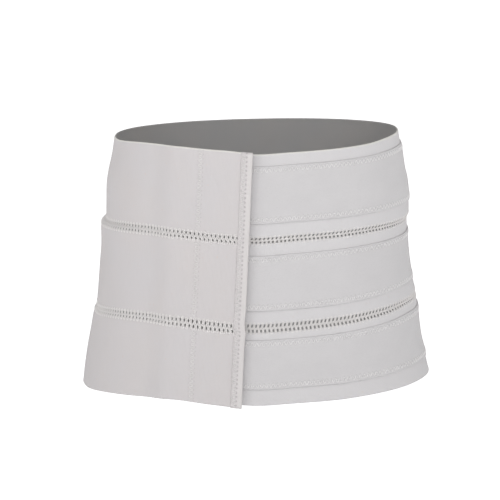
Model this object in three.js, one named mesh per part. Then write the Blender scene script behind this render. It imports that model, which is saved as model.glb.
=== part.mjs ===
import * as THREE from 'three';

// An abdominal binder in its worn form: three elastic bands joined by openwork strips, wrapped once round
// the torso and lapped over itself at the front. Millimetres, +Z up. The origin is the centre of the torso
// hollow at half height, the front faces -Y, and +X is on the right of someone who looks at the front.
//
// A place on the wrap has three numbers. turn is the angle in degrees from the front towards +X; it runs
// on past 360 under the flap. down is the distance below the top edge. offset is the distance outwards
// from the face that lies on the body.

// Heights, from the top edge down.
const upperBandHeight = 79;
const upperSeamHeight = 6;
const middleBandHeight = 76;
const lowerSeamHeight = 9;
const lowerBandHeight = 72;

// The body that the worn binder follows, at its waist and its hip.
const waistHalfBreadth = 136.7;
const waistFrontDepth = 97;
const waistBackDepth = 98;
const hipHalfBreadth = 170.2;
const hipFrontDepth = 111;
const hipBackDepth = 119;
const girthSquareness = 2.25; // 2 is an ellipse, and more is squarer
const edgeRise = 13; // the rise above the front that a share of 1 in riseRows stands for

// Cloth thicknesses, and the gap between neighbouring pieces.
const bandThickness = 2;
const seamThickness = 1;
const padThickness = 1.2;
const hookThickness = 1.2;
const tapeThickness = 1;
const gap = 0.3;
const lapGap = 0.6; // between the hook strip and the pads that it lies on

// The lap at the front, measured along the cloth from the free edge of the flap.
const edgeLeanTop = 2.3; // how far the free edge lies to the -X side of the front, at the top
const edgeLeanBottom = 12.4; // and at the bottom
const lapLength = 66;
const tapeWidth = 11;
const hookStripWidth = 38;
const liftLength = 30; // the stretch over which the flap rises onto the layers below it
const liftMargin = 3; // what it has risen before the under end begins
const flapSpreadTop = 2; // how far the free edge of the flap stands above the layer below it
const flapSpreadBottom = 1.5;
const flapSpreadLength = 60;
const padEndAngle = 125; // the loop pads end out of sight, near the back

// Openwork: two rows of slots in each strip, which lean into chevrons.
const slotColumns = 30;
const slotBar = 0.4; // share of the pitch that stays between two slots
const slotLean = 3;
const slotLines = [0, 0.14, 0.43, 0.57, 0.86, 1]; // rail, slots, spine, slots, rail, as shares of the height
const slotLineLeans = [1, 1, 0, 0, 1, 1];

const nextDown = (above, height) => ({ top: above.bottom, bottom: above.bottom + height, height });
const upperBand = { top: 0, bottom: upperBandHeight, height: upperBandHeight };
const upperSeam = nextDown(upperBand, upperSeamHeight);
const middleBand = nextDown(upperSeam, middleBandHeight);
const lowerSeam = nextDown(middleBand, lowerSeamHeight);
const lowerBand = nextDown(lowerSeam, lowerBandHeight);
const totalHeight = lowerBand.bottom;

// Where each band's loop pad starts and ends, as shares of the band's height.
const padRows = [
  { band: upperBand, from: 0.145, to: 0.835 },
  { band: middleBand, from: 0.15, to: 0.84 },
  { band: lowerBand, from: 0.1, to: 0.775 },
];

// How far the wall has widened from its waist size, 0, to its hip size, 1, on the -X side and the +X side,
// at shares of each band's height. The openwork strips run straight from band to band.
const flareRows = [
  { band: upperBand, share: 0, left: 0, right: 0 },
  { band: upperBand, share: 0.2, left: 0.07, right: 0.08 },
  { band: upperBand, share: 0.45, left: 0.2, right: 0.17 },
  { band: upperBand, share: 0.6, left: 0.25, right: 0.25 },
  { band: upperBand, share: 1, left: 0.28, right: 0.33 },
  { band: middleBand, share: 0, left: 0.43, right: 0.27 },
  { band: middleBand, share: 0.25, left: 0.42, right: 0.27 },
  { band: middleBand, share: 0.5, left: 0.46, right: 0.31 },
  { band: middleBand, share: 0.8, left: 0.51, right: 0.41 },
  { band: middleBand, share: 1, left: 0.56, right: 0.53 },
  { band: lowerBand, share: 0, left: 0.64, right: 0.57 },
  { band: lowerBand, share: 0.25, left: 0.74, right: 0.61 },
  { band: lowerBand, share: 0.5, left: 0.84, right: 0.68 },
  { band: lowerBand, share: 0.75, left: 0.92, right: 0.82 },
  { band: lowerBand, share: 1, left: 0.98, right: 0.96 },
].map((row) => ({ ...row, down: row.band.top + row.share * row.band.height }));

// The rise of the top edge, of the middles of the two openwork strips and of the bottom edge round the body,
// as shares of edgeRise. The last row is the first again.
const riseRows = [
  { turn: -77, top: 0.36, upperSeam: 0.42, lowerSeam: 0.26, bottom: 0.21 },
  { turn: -56, top: 0.5, upperSeam: 0.47, lowerSeam: 0.42, bottom: 0.36 },
  { turn: -39, top: 0.45, upperSeam: 0.38, lowerSeam: 0.32, bottom: 0.42 },
  { turn: -20, top: 0.19, upperSeam: 0.08, lowerSeam: 0.03, bottom: 0.19 },
  { turn: 0, top: -0.1, upperSeam: -0.13, lowerSeam: -0.19, bottom: 0 },
  { turn: 20, top: 0.05, upperSeam: 0.05, lowerSeam: -0.03, bottom: 0.17 },
  { turn: 39, top: 0.19, upperSeam: 0.21, lowerSeam: 0.2, bottom: 0.32 },
  { turn: 57, top: 0.41, upperSeam: 0.42, lowerSeam: 0.58, bottom: 0.61 },
  { turn: 77, top: 0.8, upperSeam: 0.64, lowerSeam: 1.14, bottom: 1 },
  { turn: 100, top: 0.95, upperSeam: 0.85, lowerSeam: 1.4, bottom: 1.2 },
  { turn: 180, top: 0.8, upperSeam: 0.8, lowerSeam: 0.9, bottom: 0.9 },
  { turn: 283, top: 0.36, upperSeam: 0.42, lowerSeam: 0.26, bottom: 0.21 },
];
const riseRings = [
  { column: 'top', down: 0 },
  { column: 'upperSeam', down: (upperSeam.top + upperSeam.bottom) / 2 },
  { column: 'lowerSeam', down: (lowerSeam.top + lowerSeam.bottom) / 2 },
  { column: 'bottom', down: totalHeight },
];

const degrees = Math.PI / 180;
const mix = (from, to, share) => from + (to - from) * share;
const eased = (share) => THREE.MathUtils.smoothstep(share, 0, 1);

// The value of one column of a table at a place between its rows, on a smooth curve that never overshoots.
function between(rows, key, at, column) {
  const place = rows.findIndex((row) => row[key] >= at);
  if (place < 0) return rows.at(-1)[column];
  if (place === 0) return rows[0][column];
  const step = (row) => (rows[row][column] - rows[row - 1][column]) / (rows[row][key] - rows[row - 1][key]);
  const slope = (row) => {
    const before = step(Math.max(row, 1));
    const after = step(Math.min(row + 1, rows.length - 1));
    return before * after > 0 ? (2 * before * after) / (before + after) : 0;
  };
  const width = rows[place][key] - rows[place - 1][key];
  const share = (at - rows[place - 1][key]) / width;
  const straight = mix(rows[place - 1][column], rows[place][column], share);
  const lead = (slope(place - 1) - step(place)) * (1 - share) - (slope(place) - step(place)) * share;
  return straight + lead * share * (1 - share) * width;
}

function girthAt(down) {
  const left = between(flareRows, 'down', down, 'left');
  const right = between(flareRows, 'down', down, 'right');
  const middle = (left + right) / 2;
  return {
    left: mix(waistHalfBreadth, hipHalfBreadth, left),
    right: mix(waistHalfBreadth, hipHalfBreadth, right),
    front: mix(waistFrontDepth, hipFrontDepth, middle),
    back: mix(waistBackDepth, hipBackDepth, middle),
  };
}

function radiusAt(turn, girth, offset) {
  const across = Math.sin(turn * degrees);
  const ahead = Math.cos(turn * degrees);
  const breadth = (across < 0 ? girth.left : girth.right) + offset;
  const depth = (ahead < 0 ? girth.back : girth.front) + offset;
  const sum = Math.abs(across / breadth) ** girthSquareness + Math.abs(ahead / depth) ** girthSquareness;
  return sum ** (-1 / girthSquareness);
}

// The turn that is reached by going a length along the wall, backwards if the length is below 0.
function turnAfter(turn, length, down) {
  const girth = girthAt(down);
  const steps = 16;
  const stretch = (at) => {
    const ahead = radiusAt(at + 0.5, girth, 0);
    const behind = radiusAt(at - 0.5, girth, 0);
    return Math.hypot(radiusAt(at, girth, 0) * degrees, ahead - behind);
  };
  let reached = turn;
  for (let step = 0; step < steps; step += 1) {
    const half = length / steps / 2 / stretch(reached);
    reached += length / steps / stretch(reached + half);
  }
  return reached;
}

// The turns of the lap's edges at one height. Those of the flap count on past the back, up to about 360.
function lapAt(down) {
  const lean = mix(edgeLeanTop, edgeLeanBottom, down / totalHeight);
  const setBack = tapeThickness + gap;
  const freeEdge = 360 + turnAfter(0, -lean, down);
  const underEnd = turnAfter(freeEdge, -lapLength, down) - 360;
  const hookEnd = turnAfter(freeEdge, -tapeWidth - gap, down);
  const liftEnd = turnAfter(underEnd + 360, -liftMargin, down);
  return {
    freeEdge,
    underEnd,
    flapCloth: turnAfter(freeEdge, -setBack, down),
    underCloth: turnAfter(underEnd, setBack, down),
    padStart: turnAfter(underEnd, tapeWidth + gap, down),
    hookEnd,
    hookStart: turnAfter(hookEnd, -hookStripWidth, down),
    liftEnd,
    liftStart: turnAfter(liftEnd, -liftLength, down),
  };
}

const laps = new Map();
function lapOf(down) {
  if (!laps.has(down)) laps.set(down, lapAt(down));
  return laps.get(down);
}

// The outward faces of the layers, in order from the body.
const padOffset = bandThickness + gap;
const hookOffset = padOffset + padThickness + lapGap;
const flapLift = hookOffset + hookThickness + gap;

function liftAt(turn, down) {
  const { liftStart, liftEnd } = lapOf(down);
  return flapLift * eased((turn - liftStart) / (liftEnd - liftStart));
}

function riseAt(turn, down) {
  const first = riseRows[0].turn;
  const round = THREE.MathUtils.euclideanModulo(turn - first, 360) + first;
  const place = Math.max(1, riseRings.findIndex((ring) => ring.down >= down));
  const [above, below] = [riseRings[place - 1], riseRings[place]];
  const share = (down - above.down) / (below.down - above.down);
  const [aboveRise, belowRise] = [above, below].map(({ column }) => between(riseRows, 'turn', round, column));
  return edgeRise * mix(aboveRise, belowRise, share);
}

function pointAt(turn, down, offset) {
  const radius = radiusAt(turn, girthAt(down), offset);
  const { freeEdge, flapCloth } = lapOf(down);
  const spreadTurn = (freeEdge - flapCloth) * (flapSpreadLength / (tapeThickness + gap));
  const spreadHere = mix(flapSpreadTop, -flapSpreadBottom, down / totalHeight);
  const spread = eased(1 - (freeEdge - turn) / spreadTurn) * spreadHere;
  return [
    radius * Math.sin(turn * degrees),
    -radius * Math.cos(turn * degrees),
    totalHeight / 2 - down + riseAt(turn, down) + spread,
  ];
}

// A cloth wall as one closed body: a grid of cells with an inner face, an outer face and edges all round it
// and round each cell that is left open. Seen from outside, columns run rightwards and rows run down.
function clothWall({ columns, rows, place, open = () => false }) {
  const positions = [];
  const triangles = [];
  const corner = (side, column, row) => (side * (columns + 1) + column) * (rows + 1) + row;
  for (let side = 0; side < 2; side += 1) {
    for (let column = 0; column <= columns; column += 1) {
      for (let row = 0; row <= rows; row += 1) positions.push(...place(side, column, row));
    }
  }
  const isCloth = (column, row) =>
    column >= 0 && column < columns && row >= 0 && row < rows && !open(column, row);
  const quad = (a, b, c, d) => triangles.push(a, b, c, a, c, d);
  const edge = (from, to) =>
    quad(corner(1, ...from), corner(0, ...from), corner(0, ...to), corner(1, ...to));
  for (let column = 0; column < columns; column += 1) {
    for (let row = 0; row < rows; row += 1) {
      if (!isCloth(column, row)) continue;
      const corners = [[column, row], [column, row + 1], [column + 1, row + 1], [column + 1, row]];
      quad(...corners.map((at) => corner(1, ...at)));
      quad(...corners.map((at) => corner(0, ...at)).reverse());
      if (!isCloth(column - 1, row)) edge(corners[0], corners[1]);
      if (!isCloth(column, row + 1)) edge(corners[1], corners[2]);
      if (!isCloth(column + 1, row)) edge(corners[2], corners[3]);
      if (!isCloth(column, row - 1)) edge(corners[3], corners[0]);
    }
  }
  const geometry = new THREE.BufferGeometry();
  const used = [...new Set(triangles)];
  const order = new Map(used.map((index, place) => [index, place]));
  const kept = used.flatMap((index) => positions.slice(index * 3, index * 3 + 3));
  geometry.setAttribute('position', new THREE.Float32BufferAttribute(kept, 3));
  geometry.setIndex(triangles.map((index) => order.get(index)));
  geometry.computeVertexNormals();
  return geometry;
}

// The columns that all layers share, stretch by stretch along the wrap, so that their facets lie parallel.
const stretches = [
  { name: 'under tape', from: 'underCloth', to: 'padStart', cells: 2 },
  { name: 'pads', from: 'padStart', to: padEndAngle, cells: 28 },
  { name: 'back', from: padEndAngle, to: 'liftStart', cells: 32 },
  { name: 'lift', from: 'liftStart', to: 'liftEnd', cells: 4 },
  { name: 'flap', from: 'liftEnd', to: 'hookStart', cells: 2 },
  { name: 'hook strip', from: 'hookStart', to: 'hookEnd', cells: 4 },
  { name: 'flap tape', from: 'hookEnd', to: 'flapCloth', cells: 2 },
];

// The turns of the columns of some stretches, at one height.
function columnTurns(names, down) {
  const turnOf = (mark) => (typeof mark === 'string' ? lapOf(down)[mark] : mark);
  const chosen = stretches.filter(({ name }) => names.includes(name));
  const turns = chosen.flatMap(({ from, to, cells }) =>
    Array.from({ length: cells }, (_, cell) => mix(turnOf(from), turnOf(to), cell / cells)));
  return [...turns, turnOf(chosen.at(-1).to)];
}

// The rows that all layers share: each band's edges, its pad's edges and the middle of its pad.
function bandRows({ band, from, to }) {
  return [0, from, (from + to) / 2, to, 1].map((share) => band.top + share * band.height);
}
const allRows = padRows.flatMap(bandRows);

// A layer over some stretches of the wrap, between the rows given.
function layer(names, rows, offset, thickness) {
  const turns = rows.map((down) => columnTurns(names, down));
  const place = (side, column, row) => {
    const turn = turns[row][column];
    const lift = names.includes('lift') ? liftAt(turn, rows[row]) : 0;
    return pointAt(turn, rows[row], lift + offset + side * thickness);
  };
  return clothWall({ columns: turns[0].length - 1, rows: rows.length - 1, place });
}

function bandPanel(pad) {
  return layer(stretches.map(({ name }) => name), bandRows(pad), 0, bandThickness);
}

function loopPad(pad) {
  return layer(['pads'], bandRows(pad).slice(1, -1), padOffset, padThickness);
}

function hookStrip() {
  return layer(['hook strip'], allRows, hookOffset, hookThickness);
}

// An openwork strip, cut through by two rows of slots, between the edges of its two bands.
function openworkStrip(seam) {
  const columns = 2 * slotColumns + 1;
  const height = seam.height - 2 * gap;
  const rest = (bandThickness - seamThickness) / 2;
  const columnShare = (column) =>
    (Math.floor(column / 2) + (column % 2) * slotBar) / (slotColumns + slotBar);
  const place = (side, column, row) => {
    const down = seam.top + gap + slotLines[row] * height;
    const { underCloth, flapCloth } = lapOf(down);
    const upright = mix(underCloth, flapCloth, columnShare(column));
    const isEnd = column === 0 || column === columns;
    const turn = isEnd ? upright : turnAfter(upright, slotLean * slotLineLeans[row], down);
    return pointAt(turn, down, liftAt(turn, down) + rest + side * seamThickness);
  };
  const open = (column, row) => column % 2 === 1 && row % 2 === 1;
  return clothWall({ columns, rows: slotLines.length - 1, place, open });
}

// A tape folded over an end of the cloth. side is 1 where the cloth ends towards larger turns, and -1 where
// it ends towards smaller ones. lift is how far the cloth has been lifted.
function foldedTape({ foldTurn, side, lift }) {
  const legCells = 2;
  const foldCells = 4;
  const columns = 2 * legCells + foldCells;
  const middle = lift + bandThickness / 2;
  const setBack = tapeThickness + gap;
  const foldAt = (face, share) => {
    const angle = (0.5 - share) * Math.PI;
    const reach = gap + face * tapeThickness;
    const half = bandThickness / 2 + reach;
    return { along: reach * Math.cos(angle) - setBack, offset: middle + side * half * Math.sin(angle) };
  };
  const place = (face, column, row) => {
    const down = allRows[row];
    const folded = THREE.MathUtils.clamp((column - legCells) / foldCells, 0, 1);
    const { along, offset } = foldAt(face, folded);
    const ontoLeg = Math.max(legCells - column, column - legCells - foldCells, 0) / legCells;
    const length = along - ontoLeg * (tapeWidth - setBack);
    const turn = turnAfter(foldTurn(down), side * length, down);
    return pointAt(turn, down, offset);
  };
  return clothWall({ columns, rows: allRows.length - 1, place });
}

const cloth = { roughness: 0.9, metalness: 0 };
const materials = {
  elastic: new THREE.MeshStandardMaterial({ color: 0xe4e1df, ...cloth }),
  openwork: new THREE.MeshStandardMaterial({ color: 0xdedad6, ...cloth }),
  loop: new THREE.MeshStandardMaterial({ color: 0xe6e6e8, ...cloth }),
  hook: new THREE.MeshStandardMaterial({ color: 0xf0f0ee, ...cloth }),
  tape: new THREE.MeshStandardMaterial({ color: 0xe9e5e3, ...cloth }),
};

const binder = new THREE.Group();

function addPiece(name, geometry, material) {
  const piece = new THREE.Mesh(geometry, material);
  piece.name = name;
  binder.add(piece);
}

['upper', 'middle', 'lower'].forEach((name, place) => {
  addPiece(`${name}_panel`, bandPanel(padRows[place]), materials.elastic);
  addPiece(`${name}_loop_pad`, loopPad(padRows[place]), materials.loop);
});
addPiece('upper_seam', openworkStrip(upperSeam), materials.openwork);
addPiece('lower_seam', openworkStrip(lowerSeam), materials.openwork);
addPiece('hook_strip', hookStrip(), materials.hook);
const flapFold = { foldTurn: (down) => lapOf(down).freeEdge, side: 1, lift: flapLift };
const underFold = { foldTurn: (down) => lapOf(down).underEnd, side: -1, lift: 0 };
addPiece('flap_binding', foldedTape(flapFold), materials.tape);
addPiece('end_binding', foldedTape(underFold), materials.tape);

export default binder;
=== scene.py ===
"""An abdominal binder in its worn form: three elastic bands joined by openwork, lapped at the front.

Lengths are in millimetres until a mesh is made, and in metres from there on. A place on the cloth has three
numbers: along, the length round the wrap from the front towards +X; down, the distance below the top edge;
and offset, the distance outwards from the face that lies on the body.
"""
import math

import bpy
import numpy as np
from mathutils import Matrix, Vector


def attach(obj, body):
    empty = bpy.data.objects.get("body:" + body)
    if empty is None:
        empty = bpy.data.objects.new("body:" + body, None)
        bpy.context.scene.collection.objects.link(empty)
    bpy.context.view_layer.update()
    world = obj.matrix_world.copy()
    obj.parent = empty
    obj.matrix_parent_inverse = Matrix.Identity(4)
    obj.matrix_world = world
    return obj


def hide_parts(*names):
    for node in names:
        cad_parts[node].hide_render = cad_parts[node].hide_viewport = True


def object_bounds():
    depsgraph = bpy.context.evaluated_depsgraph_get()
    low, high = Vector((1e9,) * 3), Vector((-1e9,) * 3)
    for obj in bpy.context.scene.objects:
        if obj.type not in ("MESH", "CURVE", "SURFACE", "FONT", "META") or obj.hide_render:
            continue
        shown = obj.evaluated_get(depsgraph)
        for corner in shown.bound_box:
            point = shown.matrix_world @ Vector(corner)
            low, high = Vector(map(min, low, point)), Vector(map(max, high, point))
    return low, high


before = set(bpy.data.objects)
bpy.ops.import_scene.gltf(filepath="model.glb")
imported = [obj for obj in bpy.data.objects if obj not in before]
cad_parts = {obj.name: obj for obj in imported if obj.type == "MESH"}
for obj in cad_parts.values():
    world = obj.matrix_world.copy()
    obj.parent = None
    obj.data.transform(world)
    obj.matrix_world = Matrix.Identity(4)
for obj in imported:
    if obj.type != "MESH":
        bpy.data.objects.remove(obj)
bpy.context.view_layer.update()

MM = 0.001

# The same driving sizes as the solids.
UPPER_BAND = (0.0, 79.0)
MIDDLE_BAND = (85.0, 161.0)
LOWER_BAND = (170.0, 242.0)
TOTAL_HEIGHT = 242.0
BANDS = {"upper": UPPER_BAND, "middle": MIDDLE_BAND, "lower": LOWER_BAND}
SEAMS = {"upper": (UPPER_BAND[1], MIDDLE_BAND[0]), "lower": (MIDDLE_BAND[1], LOWER_BAND[0])}
PAD_SHARES = {"upper": (0.145, 0.835), "middle": (0.15, 0.84), "lower": (0.1, 0.775)}
WAIST = {"half": 136.7, "front": 97.0, "back": 98.0}
HIP = {"half": 170.2, "front": 111.0, "back": 119.0}
SQUARENESS = 2.25
EDGE_RISE = 13.0
BAND_THICKNESS = 2.0
PAD_THICKNESS = 1.2
HOOK_THICKNESS = 1.2
TAPE_THICKNESS = 1.0
GAP = 0.3
LAP_GAP = 0.6
LEAN_TOP = 2.3
LEAN_BOTTOM = 12.4
LAP_LENGTH = 66.0
TAPE_WIDTH = 11.0
HOOK_WIDTH = 38.0
LIFT_LENGTH = 30.0
LIFT_MARGIN = 3.0
SPREAD_TOP = 2.0
SPREAD_BOTTOM = 1.5
SPREAD_LENGTH = 60.0
PAD_END_ANGLE = 125.0
SET_BACK = TAPE_THICKNESS + GAP
PAD_OFFSET = BAND_THICKNESS + GAP
HOOK_OFFSET = PAD_OFFSET + PAD_THICKNESS + LAP_GAP
FLAP_LIFT = HOOK_OFFSET + HOOK_THICKNESS + GAP

# band, share of its height, then how far the wall has widened on the -X side and on the +X side
FLARE = [
    (UPPER_BAND, 0.0, 0.0, 0.0),
    (UPPER_BAND, 0.2, 0.07, 0.08),
    (UPPER_BAND, 0.45, 0.2, 0.17),
    (UPPER_BAND, 0.6, 0.25, 0.25),
    (UPPER_BAND, 1.0, 0.28, 0.33),
    (MIDDLE_BAND, 0.0, 0.43, 0.27),
    (MIDDLE_BAND, 0.25, 0.42, 0.27),
    (MIDDLE_BAND, 0.5, 0.46, 0.31),
    (MIDDLE_BAND, 0.8, 0.51, 0.41),
    (MIDDLE_BAND, 1.0, 0.56, 0.53),
    (LOWER_BAND, 0.0, 0.64, 0.57),
    (LOWER_BAND, 0.25, 0.74, 0.61),
    (LOWER_BAND, 0.5, 0.84, 0.68),
    (LOWER_BAND, 0.75, 0.92, 0.82),
    (LOWER_BAND, 1.0, 0.98, 0.96),
]

# turn in degrees, then the rise of the top edge, of the two openwork strips and of the bottom edge as shares
# of EDGE_RISE
RISE = [
    (-77, 0.36, 0.42, 0.26, 0.21),
    (-56, 0.5, 0.47, 0.42, 0.36),
    (-39, 0.45, 0.38, 0.32, 0.42),
    (-20, 0.19, 0.08, 0.03, 0.19),
    (0, -0.1, -0.13, -0.19, 0.0),
    (20, 0.05, 0.05, -0.03, 0.17),
    (39, 0.19, 0.21, 0.2, 0.32),
    (57, 0.41, 0.42, 0.58, 0.61),
    (77, 0.8, 0.64, 1.14, 1.0),
    (100, 0.95, 0.85, 1.4, 1.2),
    (180, 0.8, 0.8, 0.9, 0.9),
    (283, 0.36, 0.42, 0.26, 0.21),
]
RISE_RINGS = [0.0, sum(SEAMS["upper"]) / 2, sum(SEAMS["lower"]) / 2, TOTAL_HEIGHT]


def mix(low, high, share):
    return low + (high - low) * share


def eased(share):
    share = np.clip(share, 0, 1)
    return share * share * (3 - 2 * share)


def smooth_curve(places, values):
    """A curve through the values that never overshoots them, as a function of the place."""
    places, values = np.array(places, float), np.array(values, float)
    steps = np.diff(values) / np.diff(places)
    before, after = np.append(steps[:1], steps), np.append(steps, steps[-1:])
    product, total = before * after, before + after
    slopes = np.where(product > 0, 2 * product / np.where(total == 0, 1, total), 0)

    def curve(at):
        at = np.clip(at, places[0], places[-1])
        row = np.clip(np.searchsorted(places, at, side="right") - 1, 0, len(steps) - 1)
        width = places[row + 1] - places[row]
        share = (at - places[row]) / width
        lead = (slopes[row] - steps[row]) * (1 - share) - (slopes[row + 1] - steps[row]) * share
        return mix(values[row], values[row + 1], share) + lead * share * (1 - share) * width

    return curve


def table_curve(rows, column):
    """The curve through one column of a table whose first column is the place."""
    return smooth_curve([row[0] for row in rows], [row[column] for row in rows])


FLARE_BY_DOWN = [(mix(*band, share), left, right) for band, share, left, right in FLARE]
flare_left = table_curve(FLARE_BY_DOWN, 1)
flare_right = table_curve(FLARE_BY_DOWN, 2)
RISE_CURVES = [table_curve(RISE, ring) for ring in (1, 2, 3, 4)]


def radius_at(turn, down, offset):
    """The distance from the axis of the hollow to the wall."""
    left, right = flare_left(down), flare_right(down)
    middle = (left + right) / 2
    across, ahead = np.sin(np.radians(turn)), np.cos(np.radians(turn))
    half = mix(WAIST["half"], HIP["half"], np.where(across < 0, left, right))
    front = mix(WAIST["front"], HIP["front"], middle)
    back = mix(WAIST["back"], HIP["back"], middle)
    depth = np.where(ahead < 0, back, front)
    total = np.abs(across / (half + offset)) ** SQUARENESS + np.abs(ahead / (depth + offset)) ** SQUARENESS
    return total ** (-1 / SQUARENESS)


# The length round the wall for each turn, at heights 2 mm apart and turns a quarter of a degree apart.
TABLE_DOWN = np.linspace(0, TOTAL_HEIGHT, 122)
TABLE_TURN = np.linspace(-80, 400, 1921)


def lengths_round():
    """A row of lengths for each height, counted from the front."""
    radius = radius_at(TABLE_TURN[None, :], TABLE_DOWN[:, None], 0)
    angle = np.radians(TABLE_TURN)[None, :]
    step = np.hypot(np.diff(radius * np.cos(angle)), np.diff(radius * np.sin(angle)))
    length = np.concatenate([np.zeros((len(TABLE_DOWN), 1)), np.cumsum(step, axis=1)], axis=1)
    zero = int(np.searchsorted(TABLE_TURN, 0))
    return length - length[:, zero : zero + 1]


TABLE_LENGTH = lengths_round()
TABLE_ROUND = TABLE_LENGTH[:, int(np.searchsorted(TABLE_TURN, 360))]
# And the turn for each length, as a share of the length once round.
TABLE_SHARE = np.linspace(-0.14, 1.06, 2401)
TABLE_TURN_OF = np.array(
    [np.interp(TABLE_SHARE * whole, row, TABLE_TURN) for whole, row in zip(TABLE_ROUND, TABLE_LENGTH)]
)


def round_at(down):
    """The length once round the wall."""
    return np.interp(down, TABLE_DOWN, TABLE_ROUND)


def table_place(value, table):
    """A value's place among the evenly spaced values of a table, always short of the last."""
    return np.clip((value - table[0]) / (table[1] - table[0]), 0, len(table) - 1.001)


def turn_at(along, down):
    """The turn in degrees at a length along the wrap."""
    along, down = np.broadcast_arrays(np.asarray(along, float), np.asarray(down, float))
    column = table_place(along / round_at(down), TABLE_SHARE)
    row = table_place(down, TABLE_DOWN)
    c, r = column.astype(int), row.astype(int)
    above = mix(TABLE_TURN_OF[r, c], TABLE_TURN_OF[r, c + 1], column - c)
    below = mix(TABLE_TURN_OF[r + 1, c], TABLE_TURN_OF[r + 1, c + 1], column - c)
    return mix(above, below, row - r)


def lean_at(down):
    """How far the free edge lies to the -X side of the front."""
    return mix(LEAN_TOP, LEAN_BOTTOM, np.asarray(down, float) / TOTAL_HEIGHT)


def free_edge(down):
    return round_at(down) - lean_at(down)


def under_end(down):
    return -lean_at(down) - LAP_LENGTH


EDGE_CURL = 1.4
CURL_LENGTH = 26.0


def lift_at(along, down):
    """How far the flap stands out over the layers below it."""
    start = under_end(down) + round_at(down) - LIFT_MARGIN - LIFT_LENGTH
    return FLAP_LIFT * eased((along - start) / LIFT_LENGTH) + curl_at(along, down)


def curl_at(along, down):
    """How much further the free edge of the flap stands off."""
    return EDGE_CURL * eased(1 - (free_edge(down) - along) / CURL_LENGTH) ** 2


def rise_at(turn, down):
    """How far the cloth stands above its height at the front."""
    around = np.mod(turn - RISE[0][0], 360) + RISE[0][0]
    ring = np.interp(down, RISE_RINGS, np.arange(len(RISE_RINGS)))
    rise = 0
    for place, curve in enumerate(RISE_CURVES):
        rise = rise + curve(around) * np.clip(1 - np.abs(ring - place), 0, 1)
    return EDGE_RISE * rise


# height, waves once round, how fast they slant with the distance down, and where they start
RELIEF_WAVES = [
    (0.12, 7, 0.021, 0.4),
    (0.11, 13, -0.034, 2.1),
    (0.08, 23, 0.06, 4.0),
]


def relief_at(turn, down):
    """The soft unevenness of worn cloth, alike in every layer."""
    angle = np.radians(turn)
    relief = 0
    for height, waves, slant, start in RELIEF_WAVES:
        relief = relief + height * np.sin(waves * angle + slant * down + start)
    return relief


# The openwork is not of one height. Each row says, for a place along the wrap, how far the bands' edges
# stand off their place in the solids, at the upper and at the lower strip. Less than 0 makes the openwork
# narrower.
OPENING = [
    (-80, -0.6, -0.7),
    (60, -0.5, -0.7),
    (120, -0.4, -1.2),
    (175, -0.8, -2.2),
    (230, -0.9, -1.6),
    (560, -0.6, -1.6),
    (620, -0.5, -1.6),
    (670, -0.1, -1.7),
    (720, 0.0, -1.7),
    (800, -0.2, -0.7),
]
OPENING_CURVES = [table_curve(OPENING, seam) for seam in (1, 2)]
OPENING_FADE = 9.0
# The under end's top edge hides behind the flap by this much.
TUCK = 1.2
TUCK_FROM = -8.0
TUCK_LENGTH = 22.0
SEAM_PULL = 0.3
SEAM_PULL_LENGTH = 4.0


def opened(along, down):
    """The distance below the top edge once the openwork has its own height at this place."""
    shift = 0
    for (top, bottom), curve in zip(SEAMS.values(), OPENING_CURVES):
        half = (bottom - top) / 2
        away = down - (top + bottom) / 2
        fade = np.exp(-((np.maximum(np.abs(away) - half, 0) / OPENING_FADE) ** 2))
        shift = shift + curve(along) * np.clip(away / half, -1, 1) * fade
    return down + shift


def pull_at(down):
    """The bands are drawn inwards next to the openwork."""
    pull = 0
    for top, bottom in SEAMS.values():
        away = np.maximum(np.maximum(top - down, down - bottom), 0)
        pull = pull + np.exp(-((away / SEAM_PULL_LENGTH) ** 2))
    return SEAM_PULL * pull


def cloth(along, down, offset, lifted=True):
    """Points in metres on the wrapped cloth."""
    along, down, offset = np.broadcast_arrays(*(np.asarray(x, float) for x in (along, down, offset)))
    down = opened(along, down)
    turn = turn_at(along, down)
    lift = lift_at(along, down) if lifted else 0
    radius = radius_at(turn, down, offset + lift + relief_at(turn, down) - pull_at(down))
    near = eased(1 - (free_edge(down) - along) / SPREAD_LENGTH)
    spread = near * mix(SPREAD_TOP, -SPREAD_BOTTOM, down / TOTAL_HEIGHT)
    angle = np.radians(turn)
    tucked = TUCK * eased((TUCK_FROM - along) / TUCK_LENGTH) * np.clip(1 - down / UPPER_BAND[1], 0, 1)
    height = TOTAL_HEIGHT / 2 - down + rise_at(turn, down) + spread - tucked
    return np.stack([radius * np.sin(angle), -radius * np.cos(angle), height], axis=-1) * MM


def outward(along, down):
    """The direction out of the cloth."""
    step = 0.5
    across = cloth(along + step, down, 0) - cloth(along - step, down, 0)
    below = cloth(along, down + step, 0) - cloth(along, down - step, 0)
    normal = np.cross(below, across)
    return normal / np.linalg.norm(normal, axis=-1, keepdims=True)


def add_object(name, points, faces, weave=None):
    """A smooth piece on the one body. weave is each point's place in the cloth, in millimetres."""
    mesh = bpy.data.meshes.new(name)
    mesh.from_pydata(points.tolist(), [], faces)
    mesh.polygons.foreach_set("use_smooth", np.ones(len(faces), bool))
    if weave is not None:
        layer = mesh.attributes.new("weave", "FLOAT_VECTOR", "POINT")
        layer.data.foreach_set("vector", np.ascontiguousarray(weave, np.float32).ravel())
    mesh.validate()
    mesh.update()
    piece = bpy.data.objects.new(name, mesh)
    bpy.context.scene.collection.objects.link(piece)
    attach(piece, "root")
    return piece


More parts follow.
